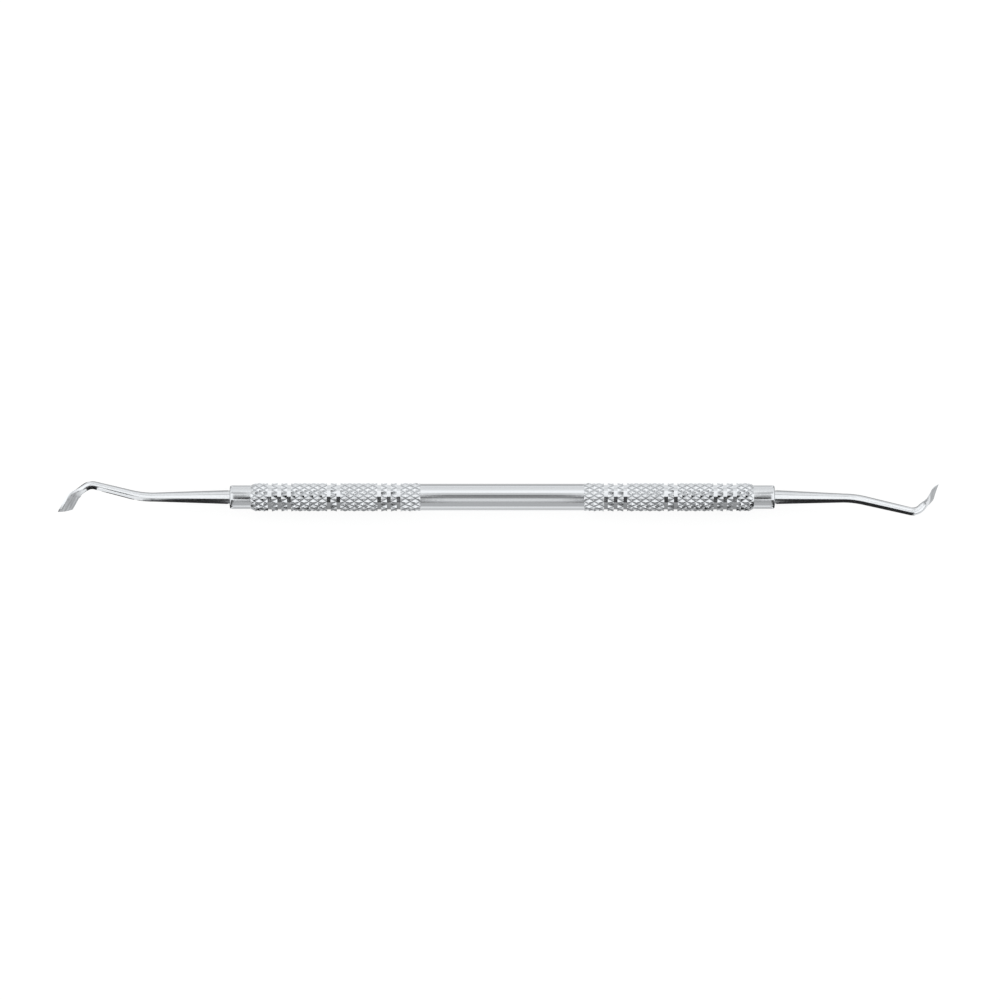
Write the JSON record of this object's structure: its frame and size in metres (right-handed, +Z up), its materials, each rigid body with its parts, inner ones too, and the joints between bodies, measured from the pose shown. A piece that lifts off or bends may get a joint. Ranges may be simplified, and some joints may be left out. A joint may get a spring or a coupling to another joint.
{
  "type": "dental carver",
  "caption": "Slim double-ended steel hand tool with diamond-knurled, ring-grooved grips and a bent shank with a small ground rhomboid carving blade at each end.",
  "frame": {"origin": "middle of the handle's length, on the table that the tool lies on", "axes": "+X along the handle to the right working end, +Y across it on the table to the side that the blades bend to at the right, +Z up from the table"},
  "size_m": [0.1764, 0.0069, 0.0057],
  "materials": {
    "handle": "polished steel, with a satin knurl",
    "right_working_end": "polished shank with a satin ground blade",
    "left_working_end": "polished shank with a satin ground blade"
  },
  "bodies": {
    "root": {"handle": "handle", "right_working_end": "right_working_end", "left_working_end": "left_working_end"}
  },
  "joints": []
}
